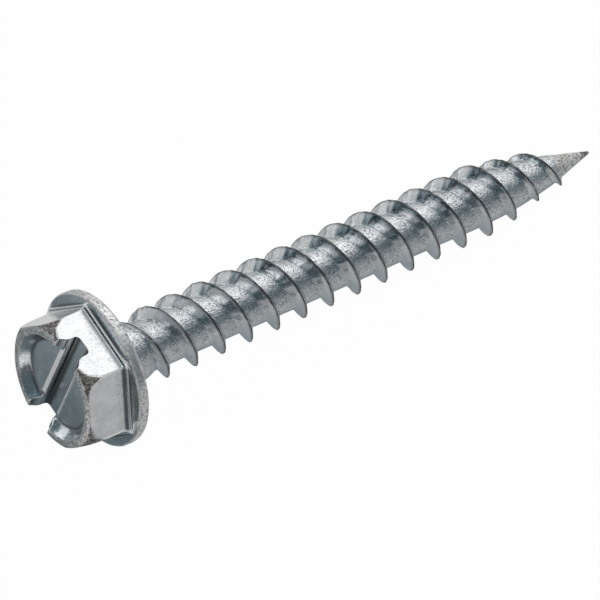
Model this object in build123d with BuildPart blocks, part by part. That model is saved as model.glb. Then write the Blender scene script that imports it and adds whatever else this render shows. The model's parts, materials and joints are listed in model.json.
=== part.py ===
from build123d import *

# Hex washer head screw with a slotted, indented head, a two-start helical thread and a gimlet point.
# It is drawn along its own axis first: x = 0 is the bearing face under the flange, +X runs to the point.
# The last block lays the finished screw down as it rests, on the flange's rim and on one ridge of thread.
import math
import os

# Shank, in millimetres
LENGTH = 38.1
ROOT_R = 1.6
NECK_R = 1.88
NECK_LENGTH = 2.2
NECK_BLEND = 1.0
UNDERHEAD_CHAMFER = 0.25

# Two ridges wound side by side, right-handed; the angle runs from +Y towards +Z
CREST_R = 2.38
RIDGE_SPACING = 2.09
STARTS = 2
THREAD_START_X = 0.08
THREAD_START_ANGLE = -104.0
CREST_FLAT = 0.1
FLANK_ANGLE = 30.0
RUN_IN_TURNS = 0.45
RUN_OUT_TURNS = 0.3
FIRST_CREST_R = 2.1
FIRST_CREST_X = 2.0
FULL_CREST_X = 4.3
PIECES_PER_TURN = 4.5
POINTS_PER_PIECE = 5

# Gimlet point, distances measured back from the tip
TIP_R = 0.08
CONE_LENGTH = 3.3
CONE_R = 0.96
OGIVE_LENGTH = 9.5
OGIVE_SLOPE = 0.19
OGIVE_STEPS = 5
CREST_TAPER_LENGTH = 8.8
CREST_TAPER_SLOPE = 0.175
LAST_CREST_R = 1.44
THREAD_END = 2.24

# Flange and hexagon
FLANGE_R = 5.05
RIM_THICKNESS = 0.74
FLANGE_RISE = 0.1
RIM_BOTTOM_CHAMFER = 0.15
RIM_TOP_CHAMFER = 0.06
HEAD_HEIGHT = 3.82
ACROSS_FLATS = 7.9
LEDGE_WIDTH = 0.15
LEDGE_HEIGHT = 0.16
LEDGE_FILLET = 0.12
HEX_ANGLE = 109.1
CROWN_R = 4.26
CROWN_SLOPE = 0.2
CROWN_CHAMFER = 0.4
CROWN_EDGE_CHAMFER = 0.14

# Indent in the top of the head and the slot across it
RECESS_DEPTH = 0.69
RECESS_FLOOR_R = 3.0
RECESS_MOUTH_R = 3.46
RECESS_CHAMFER = 0.16
SLOT_DEPTH = 1.42
SLOT_MOUTH = 2.2
SLOT_WIDTH = 1.5
SLOT_FLOOR_WIDTH = 1.36
SLOT_SHOULDER_TOP = 0.4
SLOT_SHOULDER_BOTTOM = 0.7
SLOT_FLOOR_FILLET = 0.25

# How far a ridge reaches into the core below it, and how far its ends dip under the surface
BURY = 0.3
SINK = 0.06

lead = RIDGE_SPACING * STARTS
turns = (LENGTH - THREAD_END - THREAD_START_X - RIDGE_SPACING * (STARTS - 1)) / lead
flange_top = RIM_THICKNESS + FLANGE_RISE
ledge_top = flange_top + LEDGE_HEIGHT
cone_x = LENGTH - CONE_LENGTH
ogive_x = LENGTH - OGIVE_LENGTH
taper_x = LENGTH - CREST_TAPER_LENGTH


def root_radius(x):
    """Radius of the core at x: plain, then a cubic curve with four even control radii, then the cone."""
    if x <= ogive_x:
        return ROOT_R
    if x >= cone_x:
        return TIP_R + (CONE_R - TIP_R) * (LENGTH - x) / CONE_LENGTH
    t = (x - ogive_x) / (cone_x - ogive_x)
    radii = (ROOT_R, ROOT_R, CONE_R + OGIVE_SLOPE * (cone_x - ogive_x) / 3, CONE_R)
    weights = ((1 - t) ** 3, 3 * t * (1 - t) ** 2, 3 * t**2 * (1 - t), t**3)
    return sum(weight * radius for weight, radius in zip(weights, radii))


def crest_radius(x, turn):
    """Radius of a ridge's crest, which rises out of the core, runs full, tapers and sinks back."""
    short_of_full = max(0.0, (FULL_CREST_X - x) / (FULL_CREST_X - FIRST_CREST_X))
    full = CREST_R - (CREST_R - FIRST_CREST_R) * short_of_full
    full = max(LAST_CREST_R, full - CREST_TAPER_SLOPE * max(0.0, x - taper_x))
    rising = min(1.0, turn / RUN_IN_TURNS)
    falling = min(1.0, (turns - turn) / RUN_OUT_TURNS)
    share = (1 - (1 - rising) ** 2) * (1 - (1 - falling) ** 2)
    low = root_radius(x) - SINK
    return low + (full - low) * share


def ridge_point(start, side, at_base, turn):
    """A point on one of the four long edges of a ridge."""
    middle = THREAD_START_X + RIDGE_SPACING * start + lead * turn
    top = crest_radius(middle, turn)
    radius = root_radius(middle) - BURY if at_base else top
    half = CREST_FLAT / 2 + (top - radius) * math.tan(math.radians(FLANK_ANGLE))
    angle = math.radians(THREAD_START_ANGLE + 360 * turn)
    return Vector(middle + side * half, radius * math.cos(angle), radius * math.sin(angle))


def ridge_edge(start, side, at_base, first, last):
    """A piece of a ridge's long edge between two turns, with the helix's own direction at its ends."""
    step = (last - first) / (POINTS_PER_PIECE - 1)
    points = [ridge_point(start, side, at_base, first + step * k) for k in range(POINTS_PER_PIECE)]
    directions = []
    for turn in (first, last):
        ahead = ridge_point(start, side, at_base, turn + step / 50)
        behind = ridge_point(start, side, at_base, turn - step / 50)
        directions.append((ahead - behind).normalized())
    return Edge.make_spline(points, tangents=directions)


def make_ridge(start):
    """A closed ridge of thread with a trapezium section, part of it inside the core."""
    faces = []
    pieces = math.ceil(turns * PIECES_PER_TURN)
    for piece in range(pieces):
        first = turns * piece / pieces
        last = turns * (piece + 1) / pieces
        edges = [
            ridge_edge(start, side, at_base, first, last)
            for side, at_base in ((-1, True), (-1, False), (1, False), (1, True))
        ]
        for k in range(4):
            faces.append(Face.make_surface_from_curves(edges[k], edges[(k + 1) % 4]))
        if piece == 0:
            faces.append(Face(Wire.make_polygon([edge @ 0 for edge in edges])))
        if piece == pieces - 1:
            faces.append(Face(Wire.make_polygon([edge @ 1 for edge in edges])))
    return Solid(Shell(faces))


def resting_dip():
    """Angle by which the axis dips when the flange's rim and the thread below it touch one plane."""
    dips = []
    for start in range(STARTS):
        for degree in range(int(360 * turns)):
            low = ridge_point(start, 1, False, degree / 360)
            dips.append(math.atan2(FLANGE_R + low.Z, low.X + RIM_BOTTOM_CHAMFER))
    return math.degrees(min(dips))


# The hexagonal part of the head: ledge, prism, rounded crown, indent and slot
with BuildPart() as head:
    with BuildSketch(Plane.YZ.offset(-RIM_THICKNESS / 2)):
        RegularPolygon(ACROSS_FLATS / 2 + LEDGE_WIDTH, 6, major_radius=False, rotation=HEX_ANGLE - 30)
    extrude(amount=-(ledge_top - RIM_THICKNESS / 2))
    with BuildSketch(Plane.YZ.offset(-ledge_top)):
        RegularPolygon(ACROSS_FLATS / 2, 6, major_radius=False, rotation=HEX_ANGLE - 30)
    extrude(amount=-(HEAD_HEIGHT - ledge_top))
    fillet(edges(Select.LAST).group_by(Axis.X)[-1], LEDGE_FILLET)
    with BuildSketch(Plane.XZ):
        with BuildLine():
            base_r = CROWN_R + CROWN_SLOPE * HEAD_HEIGHT
            Polyline((-HEAD_HEIGHT, 0), (-HEAD_HEIGHT, CROWN_R), (0, base_r), (0, 0), close=True)
        make_face()
        chamfer(vertices().sort_by_distance((-HEAD_HEIGHT, CROWN_R))[0], CROWN_CHAMFER)
        chamfer(vertices().sort_by_distance((-HEAD_HEIGHT, CROWN_R))[:2], CROWN_EDGE_CHAMFER)
    revolve(axis=Axis.X, mode=Mode.INTERSECT)
    with BuildSketch(Plane.XZ):
        with BuildLine():
            floor_x = RECESS_DEPTH - HEAD_HEIGHT
            wall = [(-HEAD_HEIGHT, RECESS_MOUTH_R), (floor_x, RECESS_FLOOR_R)]
            Polyline((-HEAD_HEIGHT, 0), *wall, (floor_x, 0), close=True)
        make_face()
        chamfer(vertices().sort_by_distance((floor_x, RECESS_FLOOR_R))[0], RECESS_CHAMFER)
    revolve(axis=Axis.X, mode=Mode.SUBTRACT)
    across = math.radians(HEX_ANGLE)
    slot_plane = Plane(
        origin=(-HEAD_HEIGHT, 0, 0),
        x_dir=(0, -math.sin(across), math.cos(across)),
        z_dir=(0, math.cos(across), math.sin(across)),
    )
    with BuildSketch(slot_plane):
        with BuildLine():
            side = [
                (SLOT_MOUTH / 2, -RECESS_DEPTH),
                (SLOT_MOUTH / 2, SLOT_SHOULDER_TOP),
                (SLOT_WIDTH / 2, SLOT_SHOULDER_BOTTOM),
                (SLOT_FLOOR_WIDTH / 2, SLOT_DEPTH),
            ]
            Polyline(*side, *[(-x, y) for x, y in reversed(side)], close=True)
        make_face()
        fillet(vertices().sort_by(Axis.Y)[-2:], SLOT_FLOOR_FILLET)
    extrude(amount=FLANGE_R, both=True, mode=Mode.SUBTRACT)

# The turned parts with the head and the two ridges on them
with BuildPart() as upright:
    with BuildSketch(Plane.XZ):
        with BuildLine():
            step = (cone_x - ogive_x) / OGIVE_STEPS
            ogive = [ogive_x + step * k for k in range(1, OGIVE_STEPS + 1)]
            Polyline(
                (-flange_top, 0),
                (-flange_top, ACROSS_FLATS / 2),
                (-RIM_THICKNESS, FLANGE_R),
                (0, FLANGE_R),
                (0, NECK_R),
                (NECK_LENGTH, NECK_R),
                (NECK_LENGTH + NECK_BLEND, ROOT_R),
                (ogive_x, ROOT_R),
                *[(x, root_radius(x)) for x in ogive],
                (LENGTH, TIP_R),
                (LENGTH, 0),
                close=True,
            )
        make_face()
        chamfer(vertices().sort_by_distance((-RIM_THICKNESS, FLANGE_R))[0], RIM_TOP_CHAMFER)
        chamfer(vertices().sort_by_distance((0, FLANGE_R))[0], RIM_BOTTOM_CHAMFER)
        chamfer(vertices().sort_by_distance((0, NECK_R))[0], UNDERHEAD_CHAMFER)
    revolve(axis=Axis.X)
    add(head.part)
    for start in range(STARTS):
        add(make_ridge(start))

# The same screw at rest, its box centred over the origin
laid = upright.part.rotate(Axis.Y, resting_dip())
box = laid.bounding_box()
with BuildPart() as screw:
    with Locations((-box.center().X, -box.center().Y, -box.min.Z)):
        add(laid)
screw.part.label = "screw"

os.makedirs("parts", exist_ok=True)
export_step(screw.part, "parts/screw.step")
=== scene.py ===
"""Looks of a hex washer head screw that lies on a pale floor.

Lengths in the classes are in millimetres, in the screw's own frame: x runs along the axis
from the bearing face under the flange to the point, y and z lie across it, and h = -x is the
height above the bearing face inside the head. Rest.place lays such points down, in metres.
"""
import json
import logging
import math
from dataclasses import dataclass, field
from enum import Enum, IntEnum
from functools import cached_property

import bpy
import numpy as np
from mathutils import Matrix


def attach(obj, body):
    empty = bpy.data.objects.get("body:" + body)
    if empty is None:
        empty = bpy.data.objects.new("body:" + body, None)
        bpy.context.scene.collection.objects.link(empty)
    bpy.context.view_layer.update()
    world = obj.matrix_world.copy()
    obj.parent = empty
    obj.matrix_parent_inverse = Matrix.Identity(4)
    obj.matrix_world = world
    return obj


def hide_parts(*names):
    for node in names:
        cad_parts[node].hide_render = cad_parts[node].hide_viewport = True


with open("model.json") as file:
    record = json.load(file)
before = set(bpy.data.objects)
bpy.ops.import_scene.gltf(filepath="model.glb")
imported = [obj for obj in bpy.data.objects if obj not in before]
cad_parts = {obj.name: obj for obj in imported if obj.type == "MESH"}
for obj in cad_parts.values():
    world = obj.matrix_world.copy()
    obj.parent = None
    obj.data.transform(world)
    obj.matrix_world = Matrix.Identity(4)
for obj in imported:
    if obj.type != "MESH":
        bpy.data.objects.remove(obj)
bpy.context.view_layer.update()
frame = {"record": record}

log = logging.getLogger("screw")
Array = np.ndarray
MM = 0.001
TURN = 2.0 * math.pi
WAVE_COUNT = 9
WHITE, BLACK = (1.0, 1.0, 1.0, 1.0), (0.0, 0.0, 0.0, 1.0)
# Point attributes that the finish reads
ATTRIBUTES = ("crest", "edge", "crease", "rough", "brown", "grained")


class Mark(IntEnum):
    """Columns of the values from 0 to 1 that each point of a surface has."""

    CREST = 0  # worn line along the thread
    ROUGH = 1  # matt metal, sheared or pressed
    BROWN = 2  # brown tint on rough metal
    GRAINED = 3  # depth of grain and pits
    PAINTED_HIGHLIGHT = 4  # painted highlight along the slot's shoulder


def smooth_max(a: Array | float, b: Array, k: float) -> Array:
    """Larger of two arrays, with a round of size k where they cross.

    Args:
        a: First values.
        b: Second values.
        k: Width of the rounding, in the values' unit.

    Returns:
        b + (a - b) h + k h (1 - h), where h rises from 0 to 1 as a - b goes from -k to k.
    """
    h = np.clip(0.5 + 0.5 * (a - b) / k, 0.0, 1.0)
    return b + (a - b) * h + k * h * (1.0 - h)


def smooth_min(a: Array, b: Array, k: float) -> Array:
    """Smaller of two arrays, rounded over k like smooth_max."""
    return -smooth_max(-a, -b, k)


def smooth_step(x: Array, low: float, high: float) -> Array:
    """0 below low, 1 above high, and the cubic 3t^2 - 2t^3 in between."""
    t = np.clip((x - low) / (high - low), 0.0, 1.0)
    return t * t * (3.0 - 2.0 * t)


def waves(a: Array, b: Array | float, seed: int, low: int, high: int) -> Array:
    """Smooth unevenness, about -1 to 1: sines with whole waves round a and free ones along b.

    Args:
        a: Angle round the part, in radians.
        b: Place along the part, in millimetres.
        seed: Picks the sines.
        low: Fewest waves round.
        high: Most waves round.

    Returns:
        The sum of WAVE_COUNT terms sin(m a + f b + phase), divided by the root of their number.
    """
    rng = np.random.default_rng(seed)
    total = np.zeros(np.broadcast(a, b).shape)
    for _ in range(WAVE_COUNT):
        m = rng.integers(low, high + 1) * rng.choice((-1, 1))
        f = rng.uniform(0.2, 1.0) * high / 2.5
        total += np.sin(m * a + f * b + rng.uniform(0.0, TURN))
    return total / math.sqrt(WAVE_COUNT)


def unit(vectors: Array) -> Array:
    """The vectors along the last axis made one long."""
    return vectors / np.maximum(np.linalg.norm(vectors, axis=-1, keepdims=True), 1e-12)


def turned(along: Array | float, r: Array | float, angle: Array) -> Array:
    """Points at distance r from the axis: (along, r cos angle, r sin angle)."""
    return np.stack(np.broadcast_arrays(along, r * np.cos(angle), r * np.sin(angle)), -1)


def subdivide(corners: Array, counts: Array) -> Array:
    """Rows on the lines from corner to corner, where line k is cut into counts[k] even parts."""
    where = np.concatenate([[0.0], *[k + np.arange(1, n + 1) / n for k, n in enumerate(counts)]])
    return np.stack([np.interp(where, np.arange(len(corners)), column) for column in corners.T], 1)


def halves(a: Array, b: Array, c: Array, d: Array) -> Array:
    """Triangles (a, b, c) and (a, c, d) of each cell whose corners a, b, c, d go round it."""
    first, second = np.stack([a, b, c], -1), np.stack([a, c, d], -1)
    return np.concatenate([first.reshape(-1, 3), second.reshape(-1, 3)])


@dataclass(frozen=True)
class Rest:
    """How the screw lies: its bearing face's centre, in metres, and the unit axis to its point."""

    origin: Array
    axis: Array

    @classmethod
    def from_record(cls, record: dict) -> "Rest":
        """Place and direction of the mount named bearing_face."""
        mount = next(m for m in record["mounts"] if m["name"] == "bearing_face")
        return cls(np.array(mount["pos_m"], float), unit(np.array(mount["axis"], float)))

    def place(self, points: Array) -> Array:
        """Screw-frame millimetres to row-frame metres: origin + x axis + y side + z up."""
        side = np.array([0.0, 1.0, 0.0])
        return self.origin + MM * points @ np.stack([self.axis, side, np.cross(self.axis, side)])


@dataclass
class Surface:
    """Points in the screw's frame, triangles of their numbers, and marks, one column a Mark."""

    points: Array
    triangles: Array
    marks: Array

    @cached_property
    def edges(self) -> Array:
        """Each edge once, as pairs of point numbers."""
        pairs = self.triangles[:, [0, 1, 1, 2, 2, 0]].reshape(-1, 2)
        return np.unique(np.sort(pairs, axis=1), axis=0)

    def neighbour_mean(self, values: Array) -> Array:
        """Mean of the values at each point's neighbours, over all edges at once.

        Args:
            values: One value or one row of values a point.

        Returns:
            Sum over the edges that end at each point, divided by their number.
        """
        n = len(self.points)
        ends, others = self.edges.T.ravel(), self.edges[:, ::-1].T.ravel()
        count = np.bincount(ends, minlength=n).astype(float)
        flat = values.reshape(n, -1)
        summed = np.stack([np.bincount(ends, flat[others, c], n) for c in range(flat.shape[1])], 1)
        return (summed / count[:, None]).reshape(values.shape)

    def relax(self, weight: Array, rounds: int) -> None:
        """Moves points towards their neighbours' mean, which rounds the edges like wear does."""
        for _ in range(rounds):
            self.points += weight[:, None] * (self.neighbour_mean(self.points) - self.points)

    def normals(self) -> Array:
        """Unit normals at the points.

        Returns:
            The sum of the cross products of the triangles round each point, made one long.
        """
        t, n = self.triangles, len(self.points)
        a, b, c = (self.points[t[:, k]] for k in range(3))
        cross = np.cross(b - a, c - a)
        total = [np.bincount(t.ravel(), np.repeat(column, 3), n) for column in cross.T]
        return unit(np.stack(total, 1))

    def bulge(self) -> Array:
        """How far points stand out of their neighbours' mean: edges more than 0, creases less."""
        out = np.sum((self.points - self.neighbour_mean(self.points)) * self.normals(), axis=1)
        return (self.neighbour_mean(out) + out) / 2

    def mesh(self, name: str, places: Array) -> bpy.types.Mesh:
        """Makes a smooth mesh of the triangles.

        Args:
            name: Name of the mesh.
            places: Where the points go, in metres.

        Returns:
            The mesh.
        """
        corners = self.triangles.astype(np.int32).ravel()
        made = bpy.data.meshes.new(name)
        made.vertices.add(len(places))
        made.vertices.foreach_set("co", places.astype(np.float32).ravel())
        made.loops.add(len(corners))
        made.loops.foreach_set("vertex_index", corners)
        made.polygons.add(len(self.triangles))
        made.polygons.foreach_set("loop_start", np.arange(0, len(corners), 3, dtype=np.int32))
        made.polygons.foreach_set("use_smooth", np.ones(len(self.triangles), bool))
        made.update(calc_edges=True)
        return made


@dataclass
class Shank:
    """Neck, core, gimlet point and the two ridges of thread wound side by side.

    Names in _r are radii, run_in and run_out are turns, and angles are degrees.
    """

    length: float = 38.1
    root_r: float = 1.6
    neck_r: float = 1.87
    neck_end: float = 2.25
    neck_blend: float = 1.0
    underhead_r: float = 0.22
    cone_length: float = 3.3
    cone_r: float = 0.96
    tip_r: float = 0.08
    tip_round: float = 0.1
    ogive_length: float = 9.5
    ogive_slope: float = 0.19
    # Crests: first_drop lower at rise_length before full_x, tapered over taper_length
    crest_r: float = 2.38
    first_drop: float = 0.28
    rise_length: float = 2.3
    full_x: float = 4.3
    taper_length: float = 8.8
    taper_slope: float = 0.175
    last_r: float = 1.44
    # Ridges: they start and end sunk under the core
    sink: float = 0.4
    spacing: float = 2.09
    start_x: float = 0.08
    start_angle: float = -104.1
    thread_end: float = 2.24
    flank: float = 30.0
    crest_round: float = 0.05
    root_round: float = 0.1
    run_in: float = 0.45
    run_out: float = 0.3
    # How far the outlines of the crests and of the core stray, the core less near the tip
    uneven: float = 0.012
    core_uneven: float = 0.008
    even_tip: float = 3.0
    # Marks: least height of a worn crest, loss of grain on the ridges, and distances over which
    # the crest's wear, the roots' grain, roughness and brown change
    worn_height: float = 0.1
    grain_loss: float = 0.85
    worn_width: tuple = (0.03, 0.1)
    plain_from: tuple = (0.02, 0.12)
    rough_from_tip: tuple = (3.4, 2.6)
    brown_from_tip: tuple = (1.0, 0.4)
    # Net: points round, distances of its rows from a ridge, and enough ridges to pass both ends
    columns: int = 120
    steps: tuple = (0.0, 0.03, 0.07, 0.14, 0.25, 0.36, 0.43, 0.47, 0.52, 0.62, 0.8)
    ridge_rows: tuple = (-3, 23)

    @property
    def lead(self) -> float:
        """Travel per turn of one ridge."""
        return 2.0 * self.spacing

    @property
    def turns(self) -> float:
        """Turns of each ridge."""
        return (self.length - self.thread_end - self.start_x - self.spacing) / self.lead

    @property
    def foot_r(self) -> float:
        """Radius of the ring where the round corner meets the flange."""
        return self.neck_r + self.underhead_r

    def core(self, x: Array) -> Array:
        """Radius without thread: neck, blend, plain core, ogive, cone and round tip.

        The ogive is the cubic curve through four even control radii: root_r twice, shoulder
        and cone_r. Near the tip the radius is at most the root of 2 left (tip_round + left).

        Args:
            x: Places along the axis.

        Returns:
            The radius at each place, with a quarter circle added under the flange.
        """
        blend = smooth_step(x, self.neck_end, self.neck_end + self.neck_blend)
        r = self.neck_r + (self.root_r - self.neck_r) * blend
        cone_x, ogive_x = self.length - self.cone_length, self.length - self.ogive_length
        t = np.clip((x - ogive_x) / (cone_x - ogive_x), 0.0, 1.0)
        shoulder = self.cone_r + self.ogive_slope * (cone_x - ogive_x) / 3.0
        ogive = self.root_r * ((1 - t) ** 3 + 3 * t * (1 - t) ** 2)
        ogive = ogive + 3 * shoulder * t**2 * (1 - t) + self.cone_r * t**3
        r = np.where(x > ogive_x, ogive, r)
        left = np.clip(self.length - x, 0.0, None)
        cone = self.tip_r + (self.cone_r - self.tip_r) * left / self.cone_length
        r = np.where(x > cone_x, cone, r)
        r = np.minimum(r, np.sqrt(left * (2 * self.tip_round + 2 * left)))
        foot = np.clip(self.underhead_r - x, 0.0, self.underhead_r)
        return r + self.underhead_r - np.sqrt(self.underhead_r**2 - foot**2)

    def crest(self, x: Array, turn: Array) -> Array:
        """Radius of a ridge's crest: it rises out of the neck, runs full, tapers and sinks back.

        Args:
            x: Places along the axis.
            turn: Turns from the ridge's start at these places.

        Returns:
            Straight lines for the full crest, blended into the core less sink at both ends
            by shares of the form 1 - (1 - t)^2.
        """
        before = np.clip((self.full_x - x) / self.rise_length, 0.0, None)
        full = self.crest_r - self.first_drop * before
        past = np.clip(x - self.length + self.taper_length, 0.0, None)
        full = np.maximum(self.last_r, full - self.taper_slope * past)
        rising = np.clip(turn / self.run_in, 0.0, 1.0)
        falling = np.clip((self.turns - turn) / self.run_out, 0.0, 1.0)
        share = (1 - (1 - rising) ** 2) * (1 - (1 - falling) ** 2)
        low = self.core(x) - self.sink
        return low + (full - low) * share

    def build(self) -> Surface:
        """Net of the shank, sheared so that its rows run along the ridges.

        A point at angle a and row (n, d) lies at x = start + lead a + spacing n + d, where n
        counts ridges and d is the distance from that ridge's middle. One turn on, row (n, d)
        is row (n + 2, d), which closes the seam. Rows past either end fall on the ring at
        x = 0 or on the tip. The radius is the larger of the core and of the ridge, which
        falls from its crest at the flank's slope. The cone is rough, with a brown tip.

        Returns:
            The shank, open at its first points, which are the ring at x = 0.
        """
        steps = np.array(self.steps)
        offsets = np.concatenate([-steps[:0:-1], steps, [self.spacing / 2]])
        per_turn = 2 * len(offsets)
        ridges = np.arange(*self.ridge_rows)
        n, d = np.repeat(ridges, len(offsets)), np.tile(offsets, len(ridges))
        share = np.arange(self.columns)[:, None] / self.columns
        angle = np.radians(self.start_angle) + TURN * share
        middle = self.start_x + self.spacing * n + self.lead * share
        x = middle + d

        crest = self.crest(middle, share + (n - n % 2) / 2) - self.uneven
        for seed, low, high in ((3, 1, 7), (9, 10, 26)):
            crest += self.uneven * waves(angle, middle, seed, low, high)
        away = np.sqrt(d**2 + self.crest_round**2) - self.crest_round
        ridge = crest - away / math.tan(math.radians(self.flank))
        inside = np.clip(x, 0.0, self.length)
        rolled = waves(angle, x, seed=5, low=1, high=5)
        rolled *= smooth_step(self.length - x, 0.0, self.even_tip)
        core = self.core(inside) + self.core_uneven * rolled
        r = smooth_max(ridge, core, self.root_round / 2)
        r = np.where(x < 0.02, self.foot_r, r)

        live = (x > 0.0) & (x < self.length)
        number = np.cumsum(live.ravel()).reshape(live.shape) + self.columns
        number = np.where(x >= self.length, self.columns, number)
        number = np.where(x <= 0.0, np.arange(self.columns)[:, None], number)
        ring = turned(0.0, self.foot_r, angle[:, 0])
        points = np.concatenate([ring, [[self.length, 0.0, 0.0]], turned(inside, r, angle)[live]])
        after = np.concatenate([number, np.roll(number[:1], -per_turn, axis=1)])
        here, there = after[:-1], after[1:]
        last = number.shape[1] - per_turn
        near, far = slice(last), slice(1, last + 1)
        tris = halves(here[:, near], here[:, far], there[:, far], there[:, near])

        marks = np.zeros((len(points), len(Mark)))
        marks[:, Mark.GRAINED] = 0.5
        net, from_tip = marks[self.columns + 1 :], self.length - points[self.columns :, 0]
        worn = np.interp(np.abs(d), self.worn_width, (1.0, 0.0)) * (crest > core + self.worn_height)
        net[:, Mark.CREST] = worn[live]
        plain = smooth_step(r - core, *self.plain_from)
        net[:, Mark.GRAINED] = (1.0 - self.grain_loss * plain)[live]
        marks[self.columns :, Mark.ROUGH] = smooth_step(from_tip, *self.rough_from_tip)
        marks[self.columns :, Mark.BROWN] = smooth_step(from_tip, *self.brown_from_tip)
        return Surface(points, tris, marks)


@dataclass
class Head:
    """Flange, hexagon, crown, sunk top and slot. u runs along the slot, v across it, h up.

    Attributes:
        band: Half the width of the net's straight rows along the slot.
        mouth: The slot's outline in the rim by (v, depth), and channel on the sunk floor.
        top_path: Rings outwards from the sunk floor: radius of a circle, distance of the
            hexagon's flats (9 is out of reach), depth under the rim, and the net's step.
        flange_path: Rings down over the flange to the neck: radius, h, and the net's parts.
        round_by: How much sooner than the flange is round its points are evenly spaced.
        uneven: How far the flange's outline strays in long waves, and ripple in short ones.
        inset: How far that outline is drawn in, so that it stays inside its size.
    """

    top: float = 3.82
    hex_angle: float = 109.1
    recess: float = 0.69
    band: float = 1.2
    slot_steps: int = 44
    side_steps: int = 32
    across_steps: int = 72
    cut_round: float = 0.02
    corner_round: float = 0.03
    outline_radii: tuple = (2.9, 3.2)
    mouth: tuple = (
        (-2.0, -0.5), (-1.13, -0.2), (-1.08, 0.27), (-0.88, 0.62), (-0.84, 0.8), (-0.82, 1.2),
        (-0.78, 1.32), (-0.72, 1.39), (-0.64, 1.42), (0.36, 1.42), (0.44, 1.39), (0.5, 1.32),
        (0.54, 1.2), (0.57, 0.8), (0.61, 0.62), (1.07, 0.26), (1.13, -0.2), (2.0, -0.5),
    )
    channel: tuple = (
        (-2.0, -0.5), (-1.2, 0.2), (-1.15, 0.69), (-0.87, 0.84), (-0.84, 0.9), (-0.82, 1.2),
        (-0.78, 1.32), (-0.72, 1.39), (-0.64, 1.42), (0.36, 1.42), (0.44, 1.39), (0.5, 1.32),
        (0.54, 1.2), (0.56, 0.9), (0.59, 0.84), (0.84, 0.69), (0.9, 0.2), (2.0, -0.5),
    )
    top_path: tuple = (
        (2.7, 9.0, 0.69, 0.055), (2.86, 9.0, 0.69, 0.055), (2.96, 9.0, 0.66, 0.055),
        (3.04, 9.0, 0.57, 0.055), (3.31, 9.0, 0.19, 0.055), (3.45, 9.0, 0.035, 0.05),
        (3.53, 9.0, 0.0, 0.05), (3.78, 4.2, 0.01, 0.05), (3.95, 4.0, 0.08, 0.05),
        (4.07, 3.95, 0.15, 0.06), (4.2, 3.95, 0.26, 0.06), (4.33, 3.95, 0.44, 0.07),
        (4.45, 3.95, 0.82, 0.08), (4.51, 3.95, 1.1, 0.09), (4.6, 3.95, 1.6, 0.12),
        (4.72, 3.95, 2.34, 0.06), (4.74, 3.96, 2.5, 0.05), (4.76, 3.985, 2.62, 0.05),
        (4.78, 4.03, 2.72, 0.05), (4.81, 4.09, 2.79, 0.05), (4.84, 4.15, 2.82, 0.04),
        (4.86, 4.19, 2.84, 0.04), (4.88, 4.21, 2.88, 0.04), (4.88, 4.21, 2.96, 0.04),
        (4.89, 4.235, 2.995, 0.1),
    )
    flange_path: tuple = (
        (4.99, 0.745, 9), (5.03, 0.72, 1), (5.05, 0.68, 1), (5.05, 0.15, 7), (5.03, 0.07, 1),
        (4.97, 0.015, 1), (4.9, 0.0, 1), (2.6, 0.0, 6), (2.09, 0.0, 3),
    )
    round_by: float = 1.4
    uneven: float = 0.02
    ripple: float = 0.008
    inset: float = 0.012
    uneven_radii: tuple = (4.6, 5.0)
    far_flat: float = 4.1
    crown_edge: float = 0.04
    # Marks: where the top's rim and lip and the flange's rim and two worn edges are, the depths
    # of the painted highlight along the slot's edge on the sunk floor, and how rough and brown
    # lip, rim and edges are
    rim_depth: float = 0.1
    lip_radii: tuple = (3.4, 3.5)
    rim_radii: tuple = (4.98, 5.02)
    rim_edges: tuple = ((0.71, 0.05), (0.08, 0.075))
    highlight_depths: tuple = ((0.7, 0.74), (0.9, 0.84))
    lip_wear: tuple = (0.75, 0.4)
    rim_wear: tuple = (0.45, 0.1)
    edge_wear: tuple = (0.4, 0.9)
    grained: float = 0.15

    def carve(self, plan: Array, depth: Array | float) -> tuple[Array, Array]:
        """Sinks a plan to its depth or the slot's, whichever is more.

        The slot's outline is channel on the sunk floor and mouth in the rim. Each is corners
        joined by lines, and the one goes over to the other between outline_radii.

        Args:
            plan: (u, v) of each point.
            depth: Depth under the rim without the slot.

        Returns:
            The depth of each point, and the points by (h, u, v).
        """
        inner, outer = (np.interp(plan[..., 1], *zip(*path)) for path in (self.channel, self.mouth))
        share = smooth_step(np.linalg.norm(plan, axis=2), *self.outline_radii)
        cut = smooth_max(depth, inner + (outer - inner) * share, self.cut_round)
        return cut, np.concatenate([(self.top - cut)[..., None], plan], 2)

    def band_rows(self) -> Array:
        """Places of the rows across the slot, evenly spaced along its outline.

        Returns:
            slot_steps + 1 values of v, at even shares of the outline's length.
        """
        fine = np.linspace(-self.band, self.band, 2001)
        depth = np.clip(np.interp(fine, *zip(*self.mouth)), 0.0, None)
        along = np.concatenate([[0.0], np.cumsum(np.hypot(np.diff(fine), np.diff(depth)))])
        return np.interp(np.linspace(0.0, along[-1], self.slot_steps + 1), along, fine)

    def rings(self) -> Array:
        """Rings at about even steps along top_path.

        Returns:
            Circle radius, distance of the flats and depth, one row a ring.
        """
        rows = np.array(self.top_path)
        reach = np.minimum(rows[:, 1], self.far_flat)
        out = np.diff(rows[:, 0]) + np.abs(np.diff(reach))
        counts = np.round(np.hypot(out, np.diff(rows[:, 2])) / rows[:-1, 3]).astype(int)
        return subdivide(rows[:, :3], np.maximum(1, counts))

    @staticmethod
    def hexagon(angle: Array, flat: Array) -> Array:
        """Reach of a hexagon: flat / cos of the angle to the nearest flat's middle."""
        half = math.radians(30.0)
        return flat / np.cos((angle + half) % (2 * half) - half)

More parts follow.
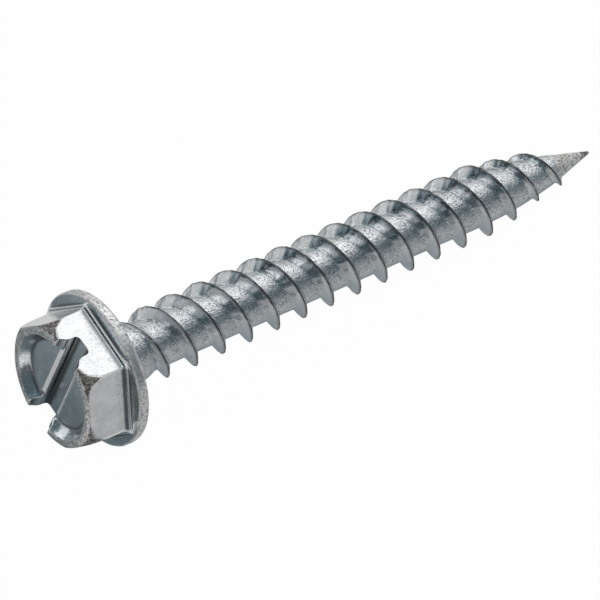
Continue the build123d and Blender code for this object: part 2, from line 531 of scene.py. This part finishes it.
    def perimeter(self, circle: Array, flat: Array) -> Array:
        """Plan of whole rings, the nearer of a circle and the hexagon, that follow the slot's rows.

        Args:
            circle: Circle radius of each ring, as a column.
            flat: Distance of the hexagon's flats from the axis, as a column.

        Returns:
            Rings by points round by (u, v), from 45 degrees before the slot's mouth onwards.
        """
        rows = self.band_rows()
        corner, eighth = math.radians(30.0), math.radians(45.0)

        def polar(phi: Array) -> Array:
            """(u, v) of each ring at the angles phi."""
            r = smooth_min(circle, self.hexagon(phi, flat), self.corner_round)
            return np.stack([r * np.cos(phi), r * np.sin(phi)], -1)

        u_band = smooth_min(np.sqrt(circle**2 - rows**2), flat, self.corner_round)
        band = np.stack(np.broadcast_arrays(u_band, rows), -1)
        start = np.arctan2(self.band, u_band[:, -1:])
        half = self.side_steps // 2
        rising = np.arange(1, half + 1) / half
        before = polar(start + (corner - start) * rising)
        past = polar(corner + (eighth - corner) * rising[:-1])
        side = np.concatenate([before, past], 1)
        flip = np.array([1.0, -1.0])
        end = polar(np.array([eighth]))
        right = np.concatenate([end * flip, side[:, ::-1] * flip, band, side], 1)
        top = polar(eighth + 2 * eighth * np.arange(self.across_steps) / self.across_steps)
        left = np.concatenate([-end * flip, (-right * flip)[:, :0:-1]], 1)
        return np.concatenate([right, top, left, -top], 1)

    def block(self, ring: Array) -> Array:
        """Plan of the sunk floor inside the first ring.

        The slot's band is filled by straight rows. Beside it, each half is a Coons patch: the
        sum of the two ways to join opposite sides by lines, less the way to join the corners.

        Args:
            ring: (u, v) of the first ring.

        Returns:
            Steps along u by steps along v by (u, v).
        """
        nj, ni = self.slot_steps + 2 * self.side_steps, self.across_steps
        right, top = ring[: nj + 1], ring[nj : nj + ni + 1][::-1]
        left = np.stack([-right[:, 0], right[:, 1]], -1)
        s = np.linspace(0.0, 1.0, ni + 1)[:, None, None]
        net = left[None] * (1 - s) + right[None] * s
        first = nj - self.side_steps
        t = np.linspace(0.0, 1.0, self.side_steps + 1)[None, :, None]
        low = net[:, first]
        sides = left[first:][None] * (1 - s) + right[first:][None] * s
        ends = low[:, None] * (1 - t) + top[:, None] * t
        low_line = low[0] * (1 - s) + low[-1] * s
        top_line = top[0] * (1 - s) + top[-1] * s
        net[:, first:] = sides + ends - (low_line * (1 - t) + top_line * t)
        net[:, : self.side_steps + 1] = net[:, first:][:, ::-1] * np.array([1.0, -1.0])
        return net

    def flange(self, plan: Array, height: float, even: Array) -> tuple[Array, Array]:
        """Rings from the hexagon's foot out over the flange and in to the neck.

        Over the first line of flange_path the outline blends from the hexagon to a circle,
        and the points' angles from the hexagon's to even ones.

        Args:
            plan: (u, v) of the hexagon's last ring.
            height: Its h.
            even: Even angles that the points go over to, in radians.

        Returns:
            The rings' radii and heights, and their points by (h, u, v).
        """
        path = np.array(self.flange_path)
        corners = np.stack([path[:, 0], np.ones(len(path)), path[:, 1]], 1)
        corners = np.concatenate([[[path[0, 0], 0.0, height]], corners])
        c, blend, h = np.hsplit(subdivide(corners, path[:, 2].astype(int))[1:], 3)
        phi, r = np.unwrap(np.arctan2(plan[:, 1], plan[:, 0])), np.linalg.norm(plan, axis=1)
        angle = phi + (even - phi) * np.minimum(1.0, self.round_by * blend)
        hexagon = np.interp(angle, np.append(phi, phi[0] + TURN), np.append(r, r[0]))
        reach = hexagon + (c - hexagon) * blend
        outline = self.uneven * waves(angle, 0.0, seed=11, low=1, high=6)
        outline = outline + self.ripple * waves(angle, 4 * h, seed=12, low=12, high=50)
        reach = reach + (outline - self.inset) * smooth_step(reach, *self.uneven_radii)
        return np.hstack([c, h]), turned(h, reach, angle)

    def marks(self, plan: Array, rings: Array, cut: Array, flange: Array, inner: Array) -> Array:
        """What the finish reads, with 1 on the crown where it cuts the hexagon's corners.

        Args:
            plan: (u, v) of the top's rings.
            rings: Their circle radius, distance of the flats and depth.
            cut: Depth of their points.
            flange: Radius and height of the flange's rings.
            inner: Depth of the sunk floor's inner points.

        Returns:
            One row a point, in the order top, flange and floor, and one column a Mark.
        """
        circle, flat, depth = np.hsplit(rings, 3)
        c, h = np.hsplit(flange, 2)
        angle = np.arctan2(plan[..., 1], plan[..., 0])
        crown = smooth_step(self.hexagon(angle, flat) - circle, 0.0, self.crown_edge)
        crown = crown * (depth > self.rim_depth) * (flat < self.far_flat)
        on_rim = (depth < self.rim_depth) * (cut < self.rim_depth)
        lip = smooth_step(circle, *self.lip_radii) * on_rim * (1.0 - crown)
        top = np.zeros((*plan.shape[:2], len(Mark)))
        for mark, level in zip((Mark.ROUGH, Mark.BROWN), self.lip_wear):
            top[..., mark] = crown + level * lip

        rim = smooth_step(c, *self.rim_radii) * (h > 0.01)
        near = [np.abs(h - height) < reach for height, reach in self.rim_edges]
        line = (c > self.rim_radii[0]) * np.any(near, axis=0)
        under = np.zeros((len(c), plan.shape[1], len(Mark)))
        under[..., Mark.ROUGH] = self.rim_wear[0] * rim + self.edge_wear[0] * line * rim
        under[..., Mark.BROWN] = self.rim_wear[1] * rim + self.edge_wear[1] * line

        floor = np.zeros((*inner.shape, len(Mark)))
        sinking, sunk = (smooth_step(inner, *depths) for depths in self.highlight_depths)
        # Painted highlight on the slot's shoulder, between the two depths
        floor[..., Mark.PAINTED_HIGHLIGHT] = sinking * sunk
        marks = np.concatenate([part.reshape(-1, len(Mark)) for part in (top, under, floor)])
        marks[:, Mark.GRAINED] = self.grained
        return marks

    @staticmethod
    def ring_numbers(net: Array, columns: int, last: Array) -> Array:
        """Point numbers of the rings. Points that coincide along a column share the first's.

        Args:
            net: Rings by points round by (h, u, v).
            columns: Points round the shank, whose numbers come before the rings'.
            last: Places of the last ring's points, counted from the shank's first column.

        Returns:
            Rings by points round. The last ring has the shank's numbers where they meet.
        """
        moved = np.linalg.norm(np.diff(net, axis=0), axis=2) > 1e-6
        level = np.zeros(net.shape[:2], int)
        level[1:] = np.where(moved, np.arange(1, len(net))[:, None], 0)
        around = net.shape[1]
        number = np.maximum.accumulate(level, axis=0) * around + np.arange(around) + columns
        step = around // columns
        number[-1] = np.where(last % step == 0, last // step, number[-1])
        return number

    def lattice_numbers(self, ring: Array, first: int) -> Array:
        """Point numbers of the sunk floor, whose outer points are the first ring's.

        Args:
            ring: Numbers of the first ring.
            first: Number of the floor's first inner point.

        Returns:
            Steps along u by steps along v.
        """
        ni, nj = self.across_steps, self.slot_steps + 2 * self.side_steps
        lattice = np.zeros((ni + 1, nj + 1), int)
        lattice[1:-1, 1:-1] = first + np.arange((ni - 1) * (nj - 1)).reshape(ni - 1, nj - 1)
        lattice[-1, :-1] = ring[:nj]
        lattice[:0:-1, -1] = ring[nj : nj + ni]
        lattice[0, :0:-1] = ring[nj + ni : 2 * nj + ni]
        lattice[:-1, 0] = ring[2 * nj + ni :]
        return lattice

    def build(self, start_angle: float, columns: int) -> Surface:
        """Net of the head: the sunk floor's lattice, then rings over the rim, hexagon and flange.

        Args:
            start_angle: Angle of the shank's first column, in degrees.
            columns: Points round the shank, a third of the points round here.

        Returns:
            The head, open at its last ring. Point numbers under columns are the shank's ring.
        """
        rings = self.rings()
        plan = self.perimeter(rings[:, :1], rings[:, 1:2])
        cut, upper = self.carve(plan, rings[:, 2:])
        around = plan.shape[1]
        first_angle = math.degrees(np.arctan2(plan[-1, 0, 1], plan[-1, 0, 0]))
        begin = round(self.hex_angle + first_angle - start_angle)
        places = begin + np.arange(around)
        even = np.radians(start_angle - self.hex_angle + places * 360.0 / around)
        flange, lower = self.flange(plan[-1], self.top - rings[-1, 2], even)
        net = np.concatenate([upper, lower])
        number = self.ring_numbers(net, columns, places % around)

        inner, floor = self.carve(self.block(plan[0]), self.recess)
        inner, floor = inner[1:-1, 1:-1], floor[1:-1, 1:-1]
        lattice = self.lattice_numbers(number[0], columns + net.shape[0] * around)

        after = np.roll(number, -1, axis=1)
        ends = number[-1][(np.arange(around) - begin) % around]
        near, second, third = ends.reshape(columns, -1).T
        tris = [
            halves(number[:-1], number[1:], after[1:], after[:-1]),
            halves(lattice[:-1, :-1], lattice[1:, :-1], lattice[1:, 1:], lattice[:-1, 1:]),
            halves(near, np.roll(near, -1), third, second),
        ]
        points = np.concatenate([np.zeros((columns, 3)), net.reshape(-1, 3), floor.reshape(-1, 3)])
        marks = self.marks(plan, rings, cut, flange, inner)
        marks = np.concatenate([np.zeros((columns, len(Mark))), marks])
        height, u, v = points.T
        a = math.radians(self.hex_angle)
        y, z = u * math.cos(a) - v * math.sin(a), u * math.sin(a) + v * math.cos(a)
        return Surface(np.stack([-height, y, z], 1), np.concatenate(tris), marks)


def join(shank: Surface, head: Surface, shared: int) -> Surface:
    """Both surfaces as one, closed at the ring of points that comes first in each.

    Args:
        shank: The shank.
        head: The head.
        shared: Points in the ring.

    Returns:
        The closed surface, its triangles turned outwards, without unused points and
        without triangles of which two corners are one point.
    """
    extra = (len(shank.points) - shared) * (head.triangles >= shared)
    tris = np.concatenate([shank.triangles, head.triangles + extra])
    points = np.concatenate([shank.points, head.points[shared:]])
    marks = np.concatenate([shank.marks, head.marks[shared:]])
    flat = np.any(tris == np.roll(tris, 1, axis=1), axis=1)
    used, tris = np.unique(tris[~flat], return_inverse=True)
    return Surface(points[used], tris.reshape(-1, 3)[:, ::-1], marks[used])


class Value:
    """A socket in a material that adds a Math node when an operator is used on it."""

    def __init__(self, nodes: "Nodes", socket: bpy.types.NodeSocket) -> None:
        """Wraps the socket."""
        self.nodes, self.socket = nodes, socket

    def _math(self, operation: str, first: object, second: object) -> "Value":
        """The Math node's result for two values or numbers."""
        return self.nodes.value("ShaderNodeMath", {"operation": operation}, {0: first, 1: second})

    def __add__(self, other: object) -> "Value":
        """self + other."""
        return self._math("ADD", self, other)

    def __sub__(self, other: object) -> "Value":
        """self - other."""
        return self._math("SUBTRACT", self, other)

    def __rsub__(self, other: object) -> "Value":
        """other - self."""
        return self._math("SUBTRACT", other, self)

    def __mul__(self, other: object) -> "Value":
        """self times other."""
        return self._math("MULTIPLY", self, other)

    __radd__, __rmul__ = __add__, __mul__

    def ramp(self, low: float, high: float) -> "Value":
        """0 at low, 1 at high, a straight line between, held outside."""
        inputs = {"Value": self, "From Min": low, "From Max": high}
        return self.nodes.value("ShaderNodeMapRange", {"clamp": True}, inputs)


@dataclass
class Nodes:
    """A node tree under construction."""

    tree: bpy.types.NodeTree

    @classmethod
    def of(cls, owner: bpy.types.Material | bpy.types.World) -> "Nodes":
        """Turns on the nodes of a material or world and clears them.

        Args:
            owner: The material or world.

        Returns:
            Its empty tree.
        """
        owner.use_nodes = True
        owner.node_tree.nodes.clear()
        return cls(owner.node_tree)

    def add(self, kind: str, settings: dict, inputs: dict) -> bpy.types.Node:
        """Adds one node.

        Args:
            kind: The node's type.
            settings: Attributes, set before the sockets.
            inputs: Values, colours or links by socket name or number.

        Returns:
            The node.
        """
        node = self.tree.nodes.new(kind)
        for name, value in settings.items():
            setattr(node, name, value)
        for name, value in inputs.items():
            source = value.socket if isinstance(value, Value) else value
            if isinstance(source, bpy.types.NodeSocket):
                self.tree.links.new(source, node.inputs[name])
            else:
                node.inputs[name].default_value = source
        return node

    def value(self, kind: str, settings: dict, inputs: dict, output: object = 0) -> Value:
        """Adds one node and wraps one of its outputs."""
        return Value(self, self.add(kind, settings, inputs).outputs[output])

    def attribute(self, name: str) -> Value:
        """The piece's point attribute of that name."""
        return self.value("ShaderNodeAttribute", {"attribute_name": name}, {}, "Fac")

    def place(self, kind: str = "Object") -> Value:
        """Object coordinates, or another kind of Texture Coordinate."""
        return self.value("ShaderNodeTexCoord", {}, {}, kind)

    def rays(self, *kinds: str) -> list[Value]:
        """1 for rays of each named kind, else 0."""
        path = self.add("ShaderNodeLightPath", {}, {})
        return [Value(self, path.outputs[f"Is {kind} Ray"]) for kind in kinds]

    def noise(self, size: float, detail: float, place: Value, rough: float = 0.5) -> Value:
        """Noise from 0 to 1 whose lumps are about size millimetres wide."""
        inputs = {"Scale": 1.0 / (size * MM), "Detail": detail, "Roughness": rough, "Vector": place}
        return self.value("ShaderNodeTexNoise", {}, inputs)

    def blend(self, share: object, a: object, b: object) -> Value:
        """Colour a where share is 0, and b where it is 1."""
        return self.value("ShaderNodeMix", {"data_type": "RGBA"}, {0: share, 6: a, 7: b}, 2)


@dataclass(frozen=True)
class ZincPlate:
    """Bright zinc on cold-headed steel: cool grey, faintly mottled, brown where it is worn or cut.

    Attributes:
        light: Zinc in the light parts of the mottling, and dark in its dark parts.
        painted_highlight: Near white of the painted highlight on edges and the slot's shoulder.
        worn: Crests and pits, and the painted shade of creases.
        crust: Pale grey of rough metal, and cut its brown.
        relief: Height of the bumps at full strength, in metres.
    """

    light: tuple = (0.8, 0.81, 0.82, 1.0)
    dark: tuple = (0.66, 0.685, 0.7, 1.0)
    painted_highlight: tuple = (0.92, 0.92, 0.91, 1.0)
    worn: tuple = (0.06, 0.045, 0.035, 1.0)
    crust: tuple = (0.82, 0.81, 0.8, 1.0)
    cut: tuple = (0.11, 0.085, 0.07, 1.0)
    relief: float = 0.00004

    def material(self, name: str) -> bpy.types.Material:
        """Builds the finish from Object coordinates and the piece's point attributes.

        Mottled zinc is the ground. Rough metal goes over to patches of crust and cut, edges and the
        slot's shoulder to the near white of a painted highlight, crests and pits to worn, and
        creases to worn as painted shade; each also changes the gloss.

        Args:
            name: Name of the material.

        Returns:
            The material.
        """
        made = bpy.data.materials.new(name)
        n = Nodes.of(made)
        place = n.place()
        mottle = n.noise(0.9, 4.0, place, 0.6).ramp(0.35, 0.65)
        grain = n.noise(0.14, 3.0, place, 0.65)
        spots = n.noise(0.11, 3.0, place, 0.6).ramp(0.58, 0.64)
        broken = n.noise(0.35, 3.0, place).ramp(0.25, 0.5)
        patches = n.noise(0.2, 5.0, place, 0.75).ramp(0.42, 0.6)
        waving = n.noise(0.42, 3.0, place, 0.6)
        crest, edge, crease, rough, brown, grained = (n.attribute(key) for key in ATTRIBUTES)

        wear = crest * (broken * 0.5 + 0.5)
        # Painted highlight: edges and the slot's shoulder go near white and less metallic
        lip = edge.ramp(0.3, 0.9) * (1.0 - crest) * (1.0 - rough * 0.5)
        matt = (rough + lip * 0.3).ramp(0.0, 1.0)
        pits = spots * (rough.ramp(0.0, 0.5) * 0.7 + grained * 0.42 + 0.04)
        # Crests and pits are real wear; creases take the worn colour as painted shade
        stain_and_crease_shade = (wear * 0.9 + pits + crease * 0.8).ramp(0.0, 1.0)

        zinc = n.blend(mottle, self.dark, self.light)
        crust = n.blend((brown * 0.7 + patches * 0.85 - 0.25).ramp(0.0, 1.0), self.crust, self.cut)
        colour = n.blend(lip, n.blend(matt, zinc, crust), self.painted_highlight)
        gloss = 0.05 + mottle * 0.06 + grain * (grained + 0.4) * 0.12 + matt * 0.3 + wear * 0.2
        raised = (grain * 1.5 + waving * 1.4) * (grained + rough * 0.8)
        height = raised - spots * (rough * 1.2 + grained * 0.6)
        relief = {"Strength": 0.75, "Distance": self.relief, "Height": height}
        bump = n.add("ShaderNodeBump", {}, relief)
        look = {
            "Base Color": n.blend(stain_and_crease_shade, colour, self.worn),
            "Metallic": 1.0 - matt * 0.4 - lip * 0.6,
            "Roughness": gloss,
            "Normal": bump.outputs[0],
        }
        shader = n.add("ShaderNodeBsdfPrincipled", {}, look)
        n.add("ShaderNodeOutputMaterial", {}, {"Surface": shader.outputs[0]})
        return made


def linked(name: str, data: bpy.types.ID) -> bpy.types.Object:
    """Makes an object of the mesh, lamp or camera and links it to the scene."""
    bpy.context.scene.collection.objects.link(made := bpy.data.objects.new(name, data))
    return made


def aim(obj: bpy.types.Object, right: Array, back: Array, place: Array) -> None:
    """Puts a lamp or camera at a place in metres, its x along right and its z along back."""
    columns = np.stack([right, np.cross(back, right), back, place], 1)
    obj.matrix_world = Matrix([*columns.tolist(), [0.0, 0.0, 0.0, 1.0]])


def toward(azimuth: float, elevation: float) -> tuple:
    """Unit vector in a direction given in degrees."""
    a, e = math.radians(azimuth), math.radians(elevation)
    return math.cos(e) * math.cos(a), math.cos(e) * math.sin(a), math.sin(e)


@dataclass
class Screw:
    """The whole screw as one closed piece that stands for the CAD node.

    Attributes:
        eased_x: Place up to which edges are worn round, in eased_rounds rounds by ease each.
        head_x: Place up to which edges and creases are marked.
        edge_bulge: How far a point stands out where the painted highlight of edges is full, and
        crease_bulge how far one lies in where the painted shade of creases is full.
    """

    rest: Rest
    shank: Shank = field(default_factory=Shank)
    head: Head = field(default_factory=Head)
    finish: ZincPlate = field(default_factory=ZincPlate)
    eased_x: float = 0.4
    eased_rounds: int = 2
    ease: float = 0.5
    head_x: float = 0.2
    edge_bulge: float = 0.009
    crease_bulge: float = 0.005

    def attributes(self, surface: Surface) -> dict[str, Array]:
        """Values of the mesh's attributes.

        Args:
            surface: The finished surface.

        Returns:
            Values by attribute. Edges and creases are the bulge over its full size.
        """
        on_head = surface.points[:, 0] < self.head_x
        bulge = surface.bulge()
        # Convex edges of the head, and below them the slot's shoulder, get a painted highlight
        edge = np.clip(bulge / self.edge_bulge, 0.0, 1.0) * on_head
        # Concave creases of the head, marked for painted shade
        crease = np.clip(-bulge / self.crease_bulge, 0.0, 1.0) * on_head
        crest, rough, brown, grained, painted_highlight = surface.marks.T
        return dict(zip(ATTRIBUTES, (crest, np.maximum(edge, painted_highlight), crease, rough, brown, grained)))

    def build(self) -> None:
        """Makes the mesh, its attributes and its finish, and puts it on the frame."""
        head = self.head.build(self.shank.start_angle, self.shank.columns)
        surface = join(self.shank.build(), head, self.shank.columns)
        eased = np.where(surface.points[:, 0] < self.eased_x, self.ease, 0.0)
        surface.relax(eased, self.eased_rounds)
        mesh = surface.mesh("screw_zinc_plated", self.rest.place(surface.points))
        for name, values in self.attributes(surface).items():
            data = mesh.attributes.new(name, "FLOAT", "POINT").data
            data.foreach_set("value", values.astype(np.float32))
        piece = linked("screw_zinc_plated", mesh)
        mesh.materials.append(self.finish.material("zinc_plated_steel"))
        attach(piece, "root")
        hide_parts("screw")
        log.info("screw: %d points, %d triangles", len(surface.points), len(surface.triangles))


@dataclass(frozen=True)
class Lamp:
    """A soft rectangular lamp, given by its direction and by how bright it looks.

    Attributes:
        azimuth: Direction from the screw, in degrees from +X towards +Y.
        elevation: Degrees above the floor.
        distance: Metres from the screw.
        size: Width and height in metres.
        radiance: Brightness of its face, where 1 is white.
    """

    name: str
    azimuth: float
    elevation: float
    distance: float
    size: tuple
    radiance: float

    def add(self) -> None:
        """Hangs the lamp facing the origin. Its power is radiance times pi times its area."""
        data = bpy.data.lights.new(self.name, "AREA")
        data.shape, data.size, data.size_y = "RECTANGLE", self.size[0], self.size[1]
        data.energy = self.radiance * math.pi * self.size[0] * self.size[1]
        back = np.array(toward(self.azimuth, self.elevation))
        side = unit(np.cross([0.0, 0.0, 1.0], back))
        aim(linked(self.name, data), side, back, back * self.distance)


@dataclass(frozen=True)
class Glow:
    """A soft patch of the room, brighter than the rest or, where level is negative, darker.

    Attributes:
        azimuth: Direction of its middle with elevation, as a lamp's.
        inner: Degrees from its middle within which it is full, and outer where it ends.
        level: Brightness it adds, where 1 is white.
    """

    azimuth: float
    elevation: float
    inner: float
    outer: float
    level: float

    def value(self, nodes: Nodes, look: Value) -> Value:
        """Its brightness in a direction: level times the square of the fall from inner to outer.

        Args:
            nodes: The room's nodes.
            look: The direction.

        Returns:
            What it adds there.
        """
        inputs = {0: look, 1: toward(self.azimuth, self.elevation)}
        dot = nodes.value("ShaderNodeVectorMath", {"operation": "DOT_PRODUCT"}, inputs, 1)
        share = dot.ramp(math.cos(math.radians(self.outer)), math.cos(math.radians(self.inner)))
        return share * share * self.level


class Along(Enum):
    """Coordinate of the floor along which a patch fades."""

    X = "x"
    Y = "y"
    SKEWED = "y, less up to skew towards the head"


X, Y, SKEWED = Along


@dataclass(frozen=True)
class Patch:
    """A soft patch of the floor that is brighter in mirrors than the rest, or darker.

    Attributes:
        level: Brightness it adds, where 1 is white.
        fades: Coordinate and the two places in millimetres, from 0 to full, of each edge.
    """

    level: float
    fades: tuple

    def value(self, places: dict[Along, Value]) -> Value:
        """Its brightness: level times the ramps of all its edges.

        Args:
            places: The floor's coordinates in metres.

        Returns:
            What it adds there.
        """
        shown = self.level
        for along, nothing, full in self.fades:
            shown = places[along].ramp(nothing * MM, full * MM) * shown
        return shown


@dataclass
class Studio:
    """Floor, lamps, surroundings and camera of a plain photograph on white.

    Mirrors alone see the glows of the room, and the patches of the floor: behind the screw,
    before it, beside its point and its head, round the head, and one glint in the sunk top.
    """

    eye: tuple = (-0.17286603, -0.23142671, 0.28737854)
    right: tuple = (0.80427537, -0.59425679, 0.0)
    forward: tuple = (0.42176803, 0.57082669, -0.70446335)
    lens: float = 390.0
    shade: tuple = (0.66, 1.0, 1.16, 1.0)
    lamps: tuple = (
        Lamp("lamp_back", 24.0, 54.0, 0.6, (0.5, 0.36), 0.5),
        Lamp("lamp_side", 103.0, 16.0, 0.6, (0.44, 0.24), 0.85),
        Lamp("lamp_head", -170.0, 56.0, 0.6, (0.3, 0.3), 0.7),
    )
    room_level: float = 0.13
    even_level: float = 0.73
    glows: tuple = (
        Glow(28.0, 36.0, 15.0, 72.0, 0.72),
        Glow(-20.0, 80.0, 15.0, 50.0, 0.23),
        Glow(137.0, 3.0, 10.0, 34.0, 0.6),
        Glow(60.0, 0.0, 12.0, 35.0, 0.4),
        Glow(40.0, 42.0, 5.0, 24.0, 0.65),
        Glow(-12.0, 48.0, 4.0, 14.0, 0.3),
        Glow(-176.0, 54.0, 10.0, 32.0, 0.35),
        Glow(-164.0, -2.0, 8.0, 28.0, -0.12),
        Glow(-68.0, 35.0, 6.0, 28.0, -0.08),
        Glow(167.0, 24.0, 6.0, 24.0, -0.1),
        Glow(-177.0, 15.0, 3.0, 11.0, 0.24),
    )
    floor_half: float = 2.0
    floor_matt: tuple = (0.7, 0.7, 0.7, 1.0)
    floor_level: float = 0.26
    patches: tuple = (
        Patch(0.5, ((SKEWED, 5.0, 14.0), (X, -23.0, -20.0))),
        Patch(-0.32, ((SKEWED, 5.0, 14.0), (X, -23.0, -20.0), (Y, 12.0, 20.0), (X, -12.0, -8.0))),
        Patch(0.27, ((Y, 1.0, -4.0), (X, -19.5, -16.5))),
        Patch(-0.4, ((Y, -6.0, -7.5), (Y, -13.0, -10.0), (X, -12.0, -9.0))),
        Patch(-0.2, ((Y, -6.0, -7.5), (X, -17.5, -19.0))),
        Patch(-0.15, ((Y, -6.0, -4.0), (Y, 20.0, 14.0), (X, -16.5, -19.5))),
        Patch(0.11, ((Y, -6.0, -4.0), (Y, 20.0, 14.0), (X, -23.5, -26.5))),
        Patch(0.75, ((Y, -0.2, -1.6), (Y, -7.8, -6.0), (X, -21.8, -23.2))),
    )
    skewed_along: tuple = (-12.0, -33.0)
    skew: float = 7.0
    floor_white: float = 0.98
    floor_mirrored: float = 0.85

    def camera(self) -> None:
        """Puts the camera where the photograph was taken from."""
        data = bpy.data.cameras.new("camera")
        data.sensor_width, data.lens = 36.0, self.lens
        data.clip_start, data.clip_end = 0.01, 20.0
        camera = linked("camera", data)
        aim(camera, np.array(self.right), -np.array(self.forward), np.array(self.eye))
        bpy.context.scene.camera = camera

    def tinted(self, n: Nodes, level: Value, full: float) -> Value:
        """Grey of a brightness, tinted by shade where it is under full."""
        return n.blend(level, BLACK, n.blend(level.ramp(0.1, full), self.shade, WHITE))

    def floor(self) -> None:
        """A wide pale floor, almost white to the camera, that keeps the screw's soft shadow.

        To mirrors its brightness is floor_level plus the patches.
        """
        mesh = bpy.data.meshes.new("floor")
        corners = np.array([(-1, -1, 0), (1, -1, 0), (1, 1, 0), (-1, 1, 0)])
        mesh.from_pydata((self.floor_half * corners).tolist(), [], [(0, 1, 2, 3)])
        mesh.update()
        floor = linked("floor", mesh)
        made = bpy.data.materials.new("white_table")
        n = Nodes.of(made)
        camera, glossy = n.rays("Camera", "Glossy")
        place = n.place()
        x, y = (n.value("ShaderNodeSeparateXYZ", {}, {0: place}, k) for k in (0, 1))
        begin, end = (MM * at for at in self.skewed_along)
        skewed = y - x.ramp(begin, end) * (self.skew * MM)
        places = {X: x, Y: y, SKEWED: skewed}
        level = self.floor_level
        for patch in self.patches:
            level = patch.value(places) + level
        shown = n.blend(camera, self.tinted(n, level, full=0.5), WHITE)
        matt = n.add("ShaderNodeBsdfDiffuse", {}, {"Color": self.floor_matt})
        white = n.add("ShaderNodeEmission", {}, {"Color": shown})
        share = camera * self.floor_white + glossy * self.floor_mirrored
        inputs = {0: share, 1: matt.outputs[0], 2: white.outputs[0]}
        mixed = n.add("ShaderNodeMixShader", {}, inputs)
        n.add("ShaderNodeOutputMaterial", {}, {"Surface": mixed.outputs[0]})
        mesh.materials.append(made)

    def surroundings(self) -> None:
        """The room: white to the camera, even to matt surfaces, room_level and glows to mirrors."""
        world = bpy.data.worlds.new("room")
        bpy.context.scene.world = world
        n = Nodes.of(world)
        look = n.place("Generated")
        seen, matt = n.rays("Camera", "Diffuse")
        level = matt * (self.even_level - self.room_level) + self.room_level
        for glow in self.glows:
            level = glow.value(n, look) * (1.0 - matt) + level
        shown = n.blend(seen, self.tinted(n, level, full=0.6), WHITE)
        room = n.add("ShaderNodeBackground", {}, {"Color": shown})
        n.add("ShaderNodeOutputWorld", {}, {"Surface": room.outputs[0]})

    def build(self) -> None:
        """Sets everything up and picks the plain view transform."""
        self.camera()
        self.floor()
        self.surroundings()
        for lamp in self.lamps:
            lamp.add()
        bpy.context.scene.view_settings.view_transform = "Standard"
        log.info("studio: %d lamps", len(self.lamps))


def main() -> None:
    """Builds the screw and the studio."""
    logging.basicConfig(level=logging.INFO)
    Screw(Rest.from_record(frame["record"])).build()
    Studio().build()


if __name__ == "__main__":
    main()
